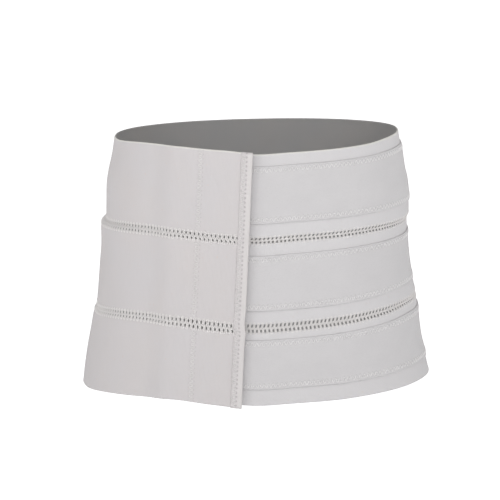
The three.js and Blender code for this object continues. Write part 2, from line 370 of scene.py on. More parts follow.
def loop_faces(columns, loop):
    """Faces of a closed loop of points swept through columns, with both ends closed."""
    column = np.arange(columns - 1)[:, None] * loop
    point = np.arange(loop)[None, :]
    after = (point + 1) % loop
    a, b = column + point, column + after
    faces = np.stack([a, b, b + loop, a + loop], axis=-1).reshape(-1, 4).tolist()
    half = loop // 2
    last = (columns - 1) * loop
    for j in range(half):
        across = [j, j + 1, loop - j - 1, (loop - j) % loop]
        corners = list(dict.fromkeys(across))
        faces.append(corners[::-1])
        faces.append([last + corner for corner in corners])
    return faces


FINE_ROWS = 0.7
CORNER_STEPS = 3


def edge_profile(top, bottom, inner, outer, spacing, fine=0.0):
    """The rounded outline of a flat cloth's section, from its top edge down the outer face and up the inner.

    Its rows are FINE_ROWS apart within fine of both edges, and spacing apart between.
    """
    radius = (outer - inner) / 2
    middle = (outer + inner) / 2
    angles = np.linspace(0, math.pi / 2, CORNER_STEPS + 1)
    upper = [(top + radius * (1 - math.cos(a)), middle + radius * math.sin(a)) for a in angles]
    first, last = top + radius, bottom - radius
    near = [first + x for x in np.arange(FINE_ROWS, fine, FINE_ROWS)]
    start, end = (near[-1], first + last - near[-1]) if near else (first, last)
    rows = max(2, round((end - start) / spacing))
    between = list(np.linspace(start, end, rows + 1)[1:-1])
    far = [first + last - x for x in near[::-1]]
    face = [(d, outer) for d in near + between + far]
    lower = [(bottom - radius * (1 - math.cos(a)), middle + radius * math.sin(a)) for a in angles[::-1]]
    front = upper + face + lower
    back = [(d, 2 * middle - o) for d, o in front[1:-1]][::-1]
    return np.array(front + back)


def band_sheet(name, profile, start, end, columns, weave_from, relief=None):
    """A cloth whose section is profile, swept from start(down) to end(down) along the wrap.

    Its weave is measured along the wrap from weave_from(down), and relief is added to its offset.
    """
    down, offset = profile[:, 0][None, :], profile[:, 1][None, :]
    share = np.linspace(0, 1, columns)[:, None]
    along = mix(start(down), end(down), share)
    flat_offset = offset
    if relief is not None:
        offset = offset + relief(along, down, offset)
    points = cloth(along, down, offset)
    weave = np.stack(np.broadcast_arrays(along - weave_from(down), down, flat_offset), axis=-1)
    return add_object(name, points.reshape(-1, 3), loop_faces(columns, len(profile)), weave.reshape(-1, 3))


THREAD_SIDES = 6


def tube(points, normals, wide, high):
    """Rings of a thread's flattened tube along a path, its faces, and each vertex's place on the thread."""
    ahead = np.gradient(points, axis=0)
    ahead /= np.linalg.norm(ahead, axis=1, keepdims=True)
    aside = np.cross(ahead, normals)
    aside /= np.linalg.norm(aside, axis=1, keepdims=True)
    above = np.cross(aside, ahead)
    angle = np.arange(THREAD_SIDES) * 2 * math.pi / THREAD_SIDES
    sideways = wide * np.cos(angle)[None, :, None] * aside[:, None]
    upwards = high * np.sin(angle)[None, :, None] * above[:, None]
    vertices = (points[:, None] + (sideways + upwards) * MM).reshape(-1, 3)
    start = np.arange(len(points) - 1)[:, None] * THREAD_SIDES
    side = np.arange(THREAD_SIDES)[None, :]
    a, b = start + side, start + (side + 1) % THREAD_SIDES
    faces = np.stack([a, b, b + THREAD_SIDES, a + THREAD_SIDES], axis=-1).reshape(-1, 4).tolist()
    faces.append(list(range(THREAD_SIDES))[::-1])
    faces.append([(len(points) - 1) * THREAD_SIDES + corner for corner in range(THREAD_SIDES)])
    gone = np.concatenate([[0], np.cumsum(np.linalg.norm(np.diff(points, axis=0), axis=1))]) / MM
    place = np.stack(np.broadcast_arrays(gone[:, None], wide * np.cos(angle)[None, :], 0.0), axis=-1)
    return vertices, faces, place.reshape(-1, 3)


def rounded_path(points, steps):
    """A smooth curve through the points, with steps pieces between each two."""
    points = np.asarray(points, float)
    padded = np.concatenate([2 * points[:1] - points[1:2], points, 2 * points[-1:] - points[-2:-1]])
    share = np.arange(steps)[:, None] / steps
    pieces = []
    for k in range(len(points) - 1):
        a, b, c, d = padded[k : k + 4]
        bend = (2 * a - 5 * b + 4 * c - d) * share + (3 * b - a - 3 * c + d) * share**2
        pieces.append(b + 0.5 * share * (c - a + bend))
    return np.concatenate(pieces + [points[-1:]])


def thread_piece(name, paths, wide, high):
    """One piece of all the threads whose paths are (points, normals), or (points, normals, thickness)."""
    vertices, faces, places, count = [], [], [], 0
    for points, normals, *thickness in paths:
        thick = thickness[0] if thickness else 1
        made, quads, place = tube(points, normals, wide * thick, high * thick)
        vertices.append(made)
        places.append(place)
        faces.extend([[corner + count for corner in face] for face in quads])
        count += len(made)
    return add_object(name, np.concatenate(vertices), faces, np.concatenate(places))


def cloth_path(along, down, offset):
    """A thread's path over the cloth, with the cloth's outward directions."""
    return cloth(along, down, offset), outward(along, down)


# Bands and the openwork between them. Each strip has a row of stitches above its spine and one below, which
# lean into chevrons; the second row lags by part of a stitch.
PITCH = 3.9
BAR_LEANS_REST = {"upper": (1.1, -0.3), "lower": (0.9, 0.2)}
BAR_LEANS_FLAP = {"upper": (0.2, 0.9), "lower": (0.4, 0.3)}
FLAP_BEGINS = (560.0, 680.0)
ROW_PHASES = (0.0, 0.3)
OPENWORK_MARGIN = 1.0
BAND_COLUMN_SPACING = PITCH / 4
BAND_ROW_SPACING = 4.0
EDGE_ZONE = 7.0
FACE_INSET = 0.05
RIM_HEIGHT = 0.16
RIM_INSET = 1.1
RIM_REACH = 0.7
PUCKER_HEIGHT = 0.14
PUCKER_INSET = 1.9
PUCKER_REACH = 1.5
PUCKER_LEAST = 0.6
PUCKER_BEAT = 0.8


def band_start(down):
    return under_end(down) + SET_BACK


def band_end(down):
    return free_edge(down) - SET_BACK


def columns_for(start, end, down, spacing):
    """How many columns a cloth has when they are spacing apart."""
    return int((end(down) - start(down)) / spacing) + 1


def openwork_start(name):
    """Where a strip's first stitch is, along the wrap."""
    middle = sum(SEAMS[name]) / 2
    return under_end(middle) + SET_BACK + OPENWORK_MARGIN


def flap_share(along):
    """0 over most of the wrap and 1 on the flap."""
    return eased((along - FLAP_BEGINS[0]) / (FLAP_BEGINS[1] - FLAP_BEGINS[0]))


def bar_lean(name, row, along):
    """How far a stitch's far end lies along the wrap from its end at the spine."""
    return mix(BAR_LEANS_REST[name][row], BAR_LEANS_FLAP[name][row], flap_share(along))


def upright_share(name, along, down):
    """The length round the wrap at this height, as a share of that at the middle of the openwork."""
    return round_at(opened(along, down)) / round_at(sum(SEAMS[name]) / 2)


def openwork_phase(name, row, along, down):
    """How many stitches of the openwork's row lie before this place on a band's edge."""
    level = along / upright_share(name, along, down)
    return (level - openwork_start(name) - bar_lean(name, row, level)) / PITCH - ROW_PHASES[row]


def make_band(name):
    top, bottom = BANDS[name]
    inner, outer = FACE_INSET, BAND_THICKNESS - FACE_INSET
    profile = edge_profile(top, bottom, inner, outer, BAND_ROW_SPACING, EDGE_ZONE)
    joins = [(seam, edge) for seam, edges in SEAMS.items() for edge in edges if edge in (top, bottom)]

    def puckered(along, down, offset):
        """A raised rim along both edges, and dents where the openwork's threads pull."""
        side = np.where(offset > (inner + outer) / 2, 1.0, -1.0)
        away = np.minimum(down - top, bottom - down)
        rim = RIM_HEIGHT * np.exp(-(((away - RIM_INSET) / RIM_REACH) ** 2)) * side
        raised = rim + 0 * along
        for seam, edge in joins:
            beat = np.cos(2 * math.pi * openwork_phase(seam, SEAMS[seam].index(edge), along, down))
            near = np.exp(-(((np.abs(down - edge) - PUCKER_INSET) / PUCKER_REACH) ** 2))
            raised = raised - PUCKER_HEIGHT * near * (PUCKER_LEAST + PUCKER_BEAT * beat) * side
        return raised

    columns = columns_for(band_start, band_end, (top + bottom) / 2, BAND_COLUMN_SPACING)
    return band_sheet(f"{name}_band", profile, band_start, band_end, columns, free_edge, puckered)


# Loop pads
PAD_BACK = BAND_THICKNESS + 0.02
PAD_FACE = PAD_OFFSET + PAD_THICKNESS - 0.1
PAD_COLUMN_SPACING = 2.0
PAD_ROW_SPACING = 1.2
PAD_STITCH_INSET = 3.9
PAD_STITCH_WIDTH = 4.4
PAD_STITCH_MARGIN = 2.0
PAD_DIMPLE = 0.12
PAD_DIMPLE_REACH = 1.8
PAD_TOP_FLAT = 0.15


def pad_start(down):
    return under_end(down) + TAPE_WIDTH + GAP


def pad_end(down):
    row = np.interp(down, TABLE_DOWN, np.arange(len(TABLE_DOWN)))
    lengths = np.array([np.interp(PAD_END_ANGLE, TABLE_TURN, r) for r in TABLE_LENGTH])
    return np.interp(row, np.arange(len(TABLE_DOWN)), lengths)


def pad_edges(name):
    """A loop pad's top and bottom edge."""
    top, bottom = BANDS[name]
    first, last = PAD_SHARES[name]
    return mix(top, bottom, first), mix(top, bottom, last)


def pad_stitch_lines(name):
    """The distances down of the pad's two rows of stitches."""
    top, bottom = pad_edges(name)
    return top + PAD_STITCH_INSET, bottom - PAD_STITCH_INSET


def make_pad(name):
    top, bottom = pad_edges(name)
    profile = edge_profile(top, bottom, PAD_BACK, PAD_FACE, PAD_ROW_SPACING)

    def pressed(along, down, offset):
        """The face is drawn in under both rows of stitches, and flatter at the top edge."""
        away = np.min([np.abs(down - line) for line in pad_stitch_lines(name)], axis=0)
        dent = PAD_DIMPLE * np.exp(-((away / PAD_DIMPLE_REACH) ** 2))
        flat = PAD_TOP_FLAT * (1 - eased((down - top) / PAD_STITCH_INSET))
        return -(dent + flat) * np.clip((offset - PAD_BACK) / (PAD_FACE - PAD_BACK), 0, 1) + 0 * along

    columns = columns_for(pad_start, pad_end, (top + bottom) / 2, PAD_COLUMN_SPACING)
    return band_sheet(f"{name}_pad", profile, pad_start, pad_end, columns, pad_start, pressed)


# Hook strip
HOOK_EDGE_INSET = 1.0
HOOK_ROW_SPACING = 2.5
HOOK_COLUMNS = 24


def hook_end(down):
    return free_edge(down) - TAPE_WIDTH - GAP


def hook_start(down):
    return hook_end(down) - HOOK_WIDTH


def make_hook_strip():
    inner = HOOK_OFFSET - FLAP_LIFT
    top, bottom = HOOK_EDGE_INSET, TOTAL_HEIGHT - HOOK_EDGE_INSET
    profile = edge_profile(top, bottom, inner, inner + HOOK_THICKNESS, HOOK_ROW_SPACING)
    return band_sheet("hook_tape", profile, hook_start, hook_end, HOOK_COLUMNS, free_edge)


# Folded tapes at the two ends
TAPE_REACH = TAPE_WIDTH - SET_BACK
TAPE_FACE = 0.62  # how far the tape's outer face stands off the band
TAPE_BACK = 0.04  # and its inner face
TAPE_THIN_FROM = 0.6  # the share of its width from which it thins towards its edge
TAPE_END_THIN = 0.5
TAPE_ROWS = 110
TAPE_LEG_STEPS = 8
TAPE_FOLD_STEPS = 8
TAPE_WEAVE_SHIFT = 40.0  # keeps the pattern of its hidden leg clear of the shown one's


def make_tape(name, end_at, side, lifted, overhang):
    """A tape folded over the cloth's end. side is 1 at the flap and -1 at the under end."""
    rows = np.linspace(-overhang, TOTAL_HEIGHT + overhang, TAPE_ROWS)
    leg = np.linspace(TAPE_REACH, 0, TAPE_LEG_STEPS + 1)[:-1]
    fold = np.linspace(math.pi / 2, -math.pi / 2, TAPE_FOLD_STEPS + 1)
    half = BAND_THICKNESS / 2

    def face(reach):
        """The line of one face in section, a distance reach off the band: a leg, the fold and a leg."""
        thin = mix(1, TAPE_END_THIN, eased((leg / TAPE_REACH - TAPE_THIN_FROM) / (1 - TAPE_THIN_FROM)))
        legs = [(-SET_BACK - x, half + reach * t) for x, t in zip(leg, thin)]
        nose = [(reach * math.cos(a) - SET_BACK, (half + reach) * math.sin(a)) for a in fold]
        return legs + nose + [(x, -y) for x, y in legs[::-1]]

    outline = np.array(face(TAPE_FACE) + face(TAPE_BACK)[::-1])
    along = end_at(rows)[:, None] + side * outline[:, 0][None, :]
    offset = half + outline[:, 1][None, :]
    down = rows[:, None] + 0 * along
    lift = FLAP_LIFT + curl_at(along, down) if lifted else 0
    points = cloth(along, down, offset + lift, lifted=False)
    faces = loop_faces(len(rows), len(outline))
    if side > 0:
        faces = [corners[::-1] for corners in faces]
    from_edge = np.where(outline[:, 1] > 0, outline[:, 0], TAPE_WEAVE_SHIFT - outline[:, 0])
    weave = np.stack(np.broadcast_arrays(from_edge[None, :], down, 0 * along), axis=-1)
    return add_object(name, points.reshape(-1, 3), faces, weave.reshape(-1, 3))


# The openwork's threads. A stitch is wider on the flap, and its thread is thicker there.
THREAD_WIDE = 0.56
THREAD_HIGH = 0.36
FLAP_BAR_WIDTH = 1.3
FLAP_THICKNESS = 1.35
OPENWORK_CENTRE = BAND_THICKNESS / 2 + 0.1
OPENWORK_FACE = BAND_THICKNESS - FACE_INSET
OPENWORK_END = 1.5
SPINE_HALF_REST = {"upper": 0.35, "lower": 0.85}
SPINE_HALF_FLAP = {"upper": 0.8, "lower": 0.85}
BAR_STEPS = 2
SPINE_STEPS = 6
SPINE_RISE = 0.12
SPINE_WAVE = 0.3


def spine_half(name, along):
    """Half the distance between the two threads of the spine, where they are furthest apart."""
    return mix(SPINE_HALF_REST[name], SPINE_HALF_FLAP[name], flap_share(along))


def stitch_loop(reach):
    """One stitch of the openwork as columns: up one leg, through the band's edge and down the other leg.

    reach is the distance from the spine to the band's edge. The columns are the distance sideways from the
    stitch's middle, the share of its lean, the distance from the spine, and the offset.
    """
    tie = reach + PUCKER_INSET
    leg = [
        (1.0, -0.15, 0.1, OPENWORK_CENTRE - 0.1),
        (0.7, 0.1, 0.85, OPENWORK_CENTRE + 0.15),
        (0.47, 0.55, 0.55 * reach, OPENWORK_CENTRE + 0.2),
        (0.55, 0.9, reach - 0.15, OPENWORK_FACE - 0.35),
        (0.66, 1.0, reach + 0.8, OPENWORK_FACE - 0.02),
        (0.4, 1.0, tie - 0.15, OPENWORK_FACE - 0.22),
    ]
    turn = [(0.0, 1.0, tie + 0.15, OPENWORK_FACE - 0.55)]
    first_leg = [(-sideways, *rest) for sideways, *rest in leg]
    return np.array(first_leg + turn + leg[::-1]).T


def openwork_threads(name):
    """Slanted loops of thread above and below a spine, tied through the bands' edges."""
    top, bottom = SEAMS[name]
    middle = (top + bottom) / 2
    start = openwork_start(name)
    count = int((free_edge(middle) - SET_BACK - OPENWORK_END - start) / PITCH)
    paths = []
    for row, (side, edge) in enumerate(((-1, top), (1, bottom))):
        sideways, lean, away, level = stitch_loop(abs(middle - edge))
        for column in range(count):
            base = start + (column + ROW_PHASES[row]) * PITCH
            flap = flap_share(base)
            place = base + sideways * mix(1, FLAP_BAR_WIDTH, flap) + bar_lean(name, row, base) * lean
            path = np.stack([place, middle + side * away, level], axis=-1)
            along, down, offset = rounded_path(path, BAR_STEPS).T
            points, normals = cloth_path(along * upright_share(name, base, down), down, offset)
            paths.append((points, normals, mix(1, FLAP_THICKNESS, flap)))
    steps = np.linspace(0, count * PITCH, count * SPINE_STEPS)
    for phase in (0, math.pi):
        angle = 2 * math.pi * steps / PITCH + phase
        down = middle + spine_half(name, start + steps) * np.sin(angle)
        offset = OPENWORK_CENTRE + SPINE_RISE + SPINE_WAVE * np.cos(angle)
        along = (start + steps) * upright_share(name, start + steps, down)
        paths.append(cloth_path(along, down, offset))
    return paths


def make_openwork(name):
    return thread_piece(f"{name}_openwork", openwork_threads(name), THREAD_WIDE, THREAD_HIGH)


# Zigzag stitching
STITCH_PITCH = 4.2
STITCH_WIDE = 0.42
STITCH_HIGH = STITCH_WIDE * 0.8
STITCH_STEPS = 4
STITCH_SUNK = 0.3
STITCH_ARCH = 0.52


def zigzag(along, down, offset, width, across_wrap):
    """A zigzag of thread through points that step half a pitch; width is spread across its line."""
    side = np.where(np.arange(len(along)) % 2 == 0, -0.5, 0.5) * width
    if across_wrap:
        along = along + side
    else:
        down = down + side
    corners = np.arange(len(along))
    fine = np.linspace(0, len(along) - 1, (len(along) - 1) * STITCH_STEPS + 1)
    arch = np.sqrt(np.abs(np.sin(fine * math.pi)))
    along, down = np.interp(fine, corners, along), np.interp(fine, corners, down)
    return cloth_path(along, down, offset - STITCH_SUNK + STITCH_ARCH * arch)


def half_pitches(start, end):
    """Places half a pitch apart from start, up to end."""
    count = int((end - start) / (STITCH_PITCH / 2))
    return start + np.arange(count + 1) * STITCH_PITCH / 2


def level_zigzag(start, end, down, offset, width):
    along = half_pitches(start, end)
    return zigzag(along, np.full(len(along), down), offset, width, False)


def upright_zigzag(inset, top, bottom, offset, width):
    """A zigzag down the flap, inset from its free edge."""
    down = half_pitches(top, bottom)
    return zigzag(free_edge(down) - inset, down, offset, width, True)


def make_pad_stitches(name):
    paths = []
    for down in pad_stitch_lines(name):
        start, end = pad_start(down) + PAD_STITCH_MARGIN, pad_end(down) - PAD_STITCH_MARGIN
        paths.append(level_zigzag(start, end, down, PAD_FACE - PAD_DIMPLE, PAD_STITCH_WIDTH))
    return thread_piece(f"{name}_pad_stitches", paths, STITCH_WIDE, STITCH_HIGH)


TAPE_STITCH_INSET = 8.1
TAPE_STITCH_WIDTH = 4.2
TAPE_STITCH_MARGIN = 2.0
TAPE_STITCH_FACE = BAND_THICKNESS + TAPE_FACE - 0.08
HOOK_STITCH_INSET = 47.0
HOOK_STITCH_WIDTH = 4.6
HOOK_STITCH_MARGIN = 3.0
HOOK_STITCH_FACE = BAND_THICKNESS - 0.2


def make_flap_stitches():
    """The row that holds the tape, and in each band the row that holds the hook strip."""
    top, bottom = TAPE_STITCH_MARGIN, TOTAL_HEIGHT - TAPE_STITCH_MARGIN
    paths = [upright_zigzag(TAPE_STITCH_INSET, top, bottom, TAPE_STITCH_FACE, TAPE_STITCH_WIDTH)]
    for band_top, band_bottom in BANDS.values():
        top, bottom = band_top + HOOK_STITCH_MARGIN, band_bottom - HOOK_STITCH_MARGIN
        paths.append(upright_zigzag(HOOK_STITCH_INSET, top, bottom, HOOK_STITCH_FACE, HOOK_STITCH_WIDTH))
    return thread_piece("flap_stitches", paths, STITCH_WIDE, STITCH_HIGH)


# Materials. Their patterns follow the "weave" attribute: along the cloth and down it, in millimetres.
class Cloth:
    """A Principled material whose colour, roughness and bump come from its own nodes."""

    def __init__(self, name, sheen=0.0, specular=0.2):
        self.material = bpy.data.materials.new(name)
        self.material.use_nodes = True
        self.nodes = self.material.node_tree.nodes
        self.shader = self.nodes["Principled BSDF"]
        self.shader.inputs["Sheen Weight"].default_value = sheen
        self.shader.inputs["Sheen Roughness"].default_value = 0.45
        self.shader.inputs["Specular IOR Level"].default_value = specular
        weave = self.add("ShaderNodeAttribute")
        weave.attribute_name = "weave"
        self.weave = weave.outputs["Vector"]
        split = self.add("ShaderNodeSeparateXYZ")
        self.join(self.weave, split.inputs[0])
        self.along, self.down, self.out = split.outputs

    def add(self, kind):
        return self.nodes.new(kind)

    def join(self, source, target):
        self.material.node_tree.links.new(source, target)

    def math(self, operation, *values):
        node = self.add("ShaderNodeMath")
        node.operation = operation
        for place, value in enumerate(values):
            if isinstance(value, (int, float)):
                node.inputs[place].default_value = value
            else:
                self.join(value, node.inputs[place])
        return node.outputs[0]

    def fold(self, operation, values):
        """The values joined by one operation, from the first to the last."""
        total = values[0]
        for value in values[1:]:
            total = self.math(operation, total, value)
        return total

    def most(self, values):
        """The largest of the values."""
        return self.fold("MAXIMUM", values)

    def relief(self, *layers):
        """The sum of patterns, each times its own height."""
        return self.fold("ADD", [self.math("MULTIPLY", pattern, height) for pattern, height in layers])

    def wave(self, distance, pitch, phase=0.0):
        """A sine wave of height 1 over a distance in millimetres."""
        return self.math("SINE", self.math("MULTIPLY_ADD", distance, 2 * math.pi / pitch, phase))

    def noise(self, size, stretch=(1, 1, 1), detail=2.0, roughness=0.5):
        """Noise from 0 to 1 in lumps of about size millimetres, longer along the axes that are stretched."""
        scaled = self.add("ShaderNodeMapping")
        scaled.inputs["Scale"].default_value = [1 / (size * x) for x in stretch]
        self.join(self.weave, scaled.inputs["Vector"])
        noise = self.add("ShaderNodeTexNoise")
        noise.inputs["Scale"].default_value = 1.0
        noise.inputs["Detail"].default_value = detail
        noise.inputs["Roughness"].default_value = roughness
        self.join(scaled.outputs[0], noise.inputs["Vector"])
        return noise.outputs["Fac"]

    def spread(self, value, low, high, new_low, new_high):
        node = self.add("ShaderNodeMapRange")
        for socket, number in zip(node.inputs[1:5], (low, high, new_low, new_high)):
            socket.default_value = number
        self.join(value, node.inputs["Value"])
        return node.outputs["Result"]

    def blend(self, share, first, second):
        """A mix of two colours, each a colour or a node's output."""
        node = self.add("ShaderNodeMix")
        node.data_type = "RGBA"
        self.join(share, node.inputs["Factor"])
        for place, colour in ((6, first), (7, second)):
            if isinstance(colour, tuple):
                node.inputs[place].default_value = (*colour, 1)
            else:
                self.join(colour, node.inputs[place])
        return node.outputs[2]

    def near(self, distance, radius):
        """1 at distance 0, falling to 0 at the radius."""
        return self.spread(distance, radius * 0.35, radius, 1.0, 0.0)

    def needle_holes(self, across, ahead, centre, width, first, depths, radius=0.95):
        """The corners of a zigzag that runs ahead, with its middle at centre across the line.

        depths are the values at the corners on its two sides.
        """
        sides = []
        for side, start, depth in zip((-0.5, 0.5), (first, first + STITCH_PITCH / 2), depths):
            aside = self.math("SUBTRACT", across, centre + side * width)
            apart = self.math("PINGPONG", self.math("SUBTRACT", ahead, start), STITCH_PITCH / 2)
            square = self.math("ADD", self.math("POWER", aside, 2.0), self.math("POWER", apart, 2.0))
            sides.append(self.math("MULTIPLY", self.near(self.math("SQRT", square), radius), depth))
        return self.most(sides)

    def finish(self, colour, roughness, height, depth):
        """Sets the shader's inputs. depth is the height of the relief in millimetres."""
        self.join(colour, self.shader.inputs["Base Color"])
        self.join(roughness, self.shader.inputs["Roughness"])
        bump = self.add("ShaderNodeBump")
        bump.inputs["Distance"].default_value = depth * MM
        bump.inputs["Strength"].default_value = 1.0
        self.join(height, bump.inputs["Height"])
        self.join(bump.outputs["Normal"], self.shader.inputs["Normal"])
        return self.material


ELASTIC_WARM = (0.69, 0.655, 0.655)
ELASTIC_COOL = (0.682, 0.655, 0.664)
ELASTIC_UNDER = (0.72, 0.705, 0.715)
TOP_EDGE_HIGHLIGHT = (0.86, 0.85, 0.8)
NEEDLE_HOLE_SHADE = (0.36, 0.34, 0.34)
ELASTIC_GROOVE_SHADE = (0.55, 0.53, 0.52)
ELASTIC_FLECK = (0.7, 0.6, 0.56)
ELASTIC_INSIDE_SHADE = (0.43, 0.415, 0.405)
ELASTIC_INSIDE_SHADE_COOL = (0.41, 0.405, 0.405)
LOOP_SHADE = (0.655, 0.64, 0.648)
LOOP_LIGHT = (0.67, 0.655, 0.663)
LOOP_HOLLOW_SHADE = (0.55, 0.54, 0.55)
JOINING_LIGHT = (0.83, 0.805, 0.795)
JOINING_GROOVE_SHADE = (0.74, 0.715, 0.705)
STITCH_LIGHT = (0.88, 0.865, 0.865)
STITCH_GROOVE_SHADE = (0.78, 0.76, 0.76)
FLAP_STITCH_LIGHT = (0.8, 0.78, 0.775)
FLAP_STITCH_GROOVE_SHADE = (0.7, 0.68, 0.675)
TAPE_LIGHT = (0.72, 0.685, 0.69)
TAPE_GROOVE_SHADE = (0.6, 0.57, 0.57)
TAPE_WARM = (0.71, 0.675, 0.665)
TAPE_FOLD_HIGHLIGHT = (0.735, 0.705, 0.7)
HOOK_BACKING_SHADE = (0.6, 0.6, 0.59)
HOOK_TIP = (0.75, 0.75, 0.74)

RIB_PITCH = 1.15
PICK_PITCH = 0.95
FLAP_TONE = (-530.0, -300.0)  # from the free edge, where the under layer's tone turns into the flap's
TOP_EDGE_HIGHLIGHT_DOWN = (0.7, 1.6)  # the painted highlight along the top edge ends between these distances down
INSIDE_SHADE_DEPTH = (0.7, 1.2)  # and the inner face's painted shade, darker than the outer face, between these distances from the body
HOOK_ROW_HALF = 38.0  # half the height over which each band's row of needle holes runs


def elastic_webbing():
    """Covered-rubber webbing: ribs down its width, crossed by fine picks, with a little uneven tone."""
    m = Cloth("elastic_webbing", sheen=0.12)
    drift = m.math("MULTIPLY", m.noise(24, (1, 2, 1)), 0.9)
    ribs = m.wave(m.math("ADD", m.along, drift), RIB_PITCH)
    half_steps = m.math("MULTIPLY", m.math("GREATER_THAN", ribs, 0.0), math.pi)
    picks = m.math("SINE", m.math("ADD", m.math("MULTIPLY", m.down, 2 * math.pi / PICK_PITCH), half_steps))
    slubs = m.noise(1.3, (0.6, 3.5, 1), 3.0)
    lumps = m.noise(7, (1, 2.2, 1))
    rows = []
    for top, _ in BANDS.values():
        first = top + HOOK_STITCH_MARGIN
        row = m.needle_holes(m.along, m.down, -HOOK_STITCH_INSET, HOOK_STITCH_WIDTH, first, (0.6, 1.0))
        in_band = m.math("COMPARE", m.down, top + HOOK_ROW_HALF, HOOK_ROW_HALF)
        rows.append(m.math("MULTIPLY", row, in_band))
    holes = m.most(rows)
    height = m.relief((ribs, 0.3), (picks, 0.16), (slubs, 0.7), (lumps, 0.9), (holes, -1.2))
    tone = m.spread(m.noise(46, (1, 1.6, 1), 3.0), 0.35, 0.65, 0.0, 1.0)
    on_flap = m.spread(m.along, *FLAP_TONE, 0.0, 1.0)
    base = m.blend(on_flap, ELASTIC_UNDER, m.blend(tone, ELASTIC_WARM, ELASTIC_COOL))
    # Painted shade in the grooves between the ribs.
    rib_groove_shade = m.math("MULTIPLY", m.spread(ribs, -1.0, -0.3, 0.35, 0.0), m.spread(slubs, 0.3, 0.7, 1.0, 0.3))
    base = m.blend(rib_groove_shade, base, ELASTIC_GROOVE_SHADE)
    flecks = m.spread(m.noise(2.1, (1, 1.5, 1), 1.0), 0.7, 0.78, 0.0, 0.5)
    base = m.blend(flecks, base, ELASTIC_FLECK)
    # Painted shade in the needle holes.
    base = m.blend(m.math("MULTIPLY", holes, 0.2), base, NEEDLE_HOLE_SHADE)
    # Painted highlight along the top edge, where light from above catches its rounded edge.
    base = m.blend(m.spread(m.down, *TOP_EDGE_HIGHLIGHT_DOWN, 0.8, 0.0), base, TOP_EDGE_HIGHLIGHT)
    # Painted shade on the inner face, which stands for the dark inside of the hollow.
    inside_shade = m.blend(tone, ELASTIC_INSIDE_SHADE, ELASTIC_INSIDE_SHADE_COOL)
    base = m.blend(m.spread(m.out, *INSIDE_SHADE_DEPTH, 1.0, 0.0), base, inside_shade)
    roughness = m.spread(lumps, 0.3, 0.7, 0.82, 0.96)
    return m.finish(base, roughness, height, 0.16)


def loop_pile():
    """Brushed nylon loops: short fibres that lie over each other in small tufts."""
    m = Cloth("loop_pile", sheen=0.25)
    tufts = m.noise(1.5, (1.5, 0.8, 1), 4.0, 0.65)
    fibres = m.noise(0.35, (4, 0.6, 1), 3.0, 0.7)
    lie = m.noise(18, (1.4, 1, 1), 2.0)
    rows = []
    for line in (line for name in BANDS for line in pad_stitch_lines(name)):
        # Each row's holes are deeper and darker on its upper side: painted shade from the light above.
        row = m.needle_holes(m.down, m.along, line, PAD_STITCH_WIDTH, PAD_STITCH_MARGIN, (0.8, 0.15), 1.05)
        rows.append(row)
    holes = m.most(rows)
    height = m.relief((tufts, 0.8), (fibres, 0.4), (lie, 0.6), (holes, -0.5))
    tone = m.spread(lie, 0.35, 0.65, 0.0, 1.0)
    base = m.blend(tone, LOOP_SHADE, LOOP_LIGHT)
    # Painted shade in the hollows between the tufts.
    tuft_hollow_shade = m.spread(tufts, 0.3, 0.48, 0.2, 0.0)
    base = m.blend(tuft_hollow_shade, base, LOOP_HOLLOW_SHADE)
    # Painted shade in the needle holes.
    base = m.blend(m.math("MULTIPLY", holes, 0.3), base, NEEDLE_HOLE_SHADE)
    roughness = m.spread(tufts, 0.3, 0.7, 0.98, 0.85)
    return m.finish(base, roughness, height, 0.3)


def spun_thread(name, light, ply_groove_shade):
    """Spun polyester thread, with the twist of its plies."""
    m = Cloth(name, sheen=0.15, specular=0.3)
    plies = m.wave(m.math("ADD", m.along, m.math("MULTIPLY", m.down, 1.2)), 0.8)
    fuzz = m.noise(0.3, (2, 1, 1), 3.0)
    # Painted shade in the grooves between the plies.
    base = m.blend(m.spread(plies, -1.0, 0.2, 0.5, 0.0), light, ply_groove_shade)
    height = m.relief((plies, 0.6), (fuzz, 0.6))
    return m.finish(base, m.spread(fuzz, 0.3, 0.7, 0.65, 0.85), height, 0.09)


FOLD_HIGHLIGHT_ENDS = (4.0, 5.5)  # the painted highlight beside the fold ends between these distances from it


def edge_tape():
    """Narrow folded tape with a fine diagonal twill."""
    m = Cloth("edge_tape", sheen=0.1)
    twill = m.wave(m.math("ADD", m.along, m.math("MULTIPLY", m.down, 0.8)), 0.85)
    yarns = m.noise(0.7, (1, 3, 1), 3.0)
    slack = m.noise(9, (1, 2, 1))
    line, width = -TAPE_STITCH_INSET, TAPE_STITCH_WIDTH
    holes = m.needle_holes(m.along, m.down, line, width, TAPE_STITCH_MARGIN, (0.3, 1.0), 1.4)
    height = m.relief((twill, 0.3), (yarns, 0.5), (slack, 1.2), (holes, -2.4))
    # Painted shade in the troughs of the twill.
    base = m.blend(m.spread(twill, -1.0, 0.0, 0.3, 0.0), TAPE_LIGHT, TAPE_GROOVE_SHADE)
    base = m.blend(m.spread(slack, 0.4, 0.7, 0.0, 0.3), base, TAPE_WARM)
    # Painted highlight along the tape's rounded fold.
    base = m.blend(m.spread(m.math("ABSOLUTE", m.along), *FOLD_HIGHLIGHT_ENDS, 1.0, 0.0), base, TAPE_FOLD_HIGHLIGHT)
    # Painted shade in the needle holes.
    base = m.blend(m.math("MULTIPLY", holes, 0.45), base, NEEDLE_HOLE_SHADE)
    return m.finish(base, m.spread(yarns, 0.3, 0.7, 0.8, 0.95), height, 0.14)


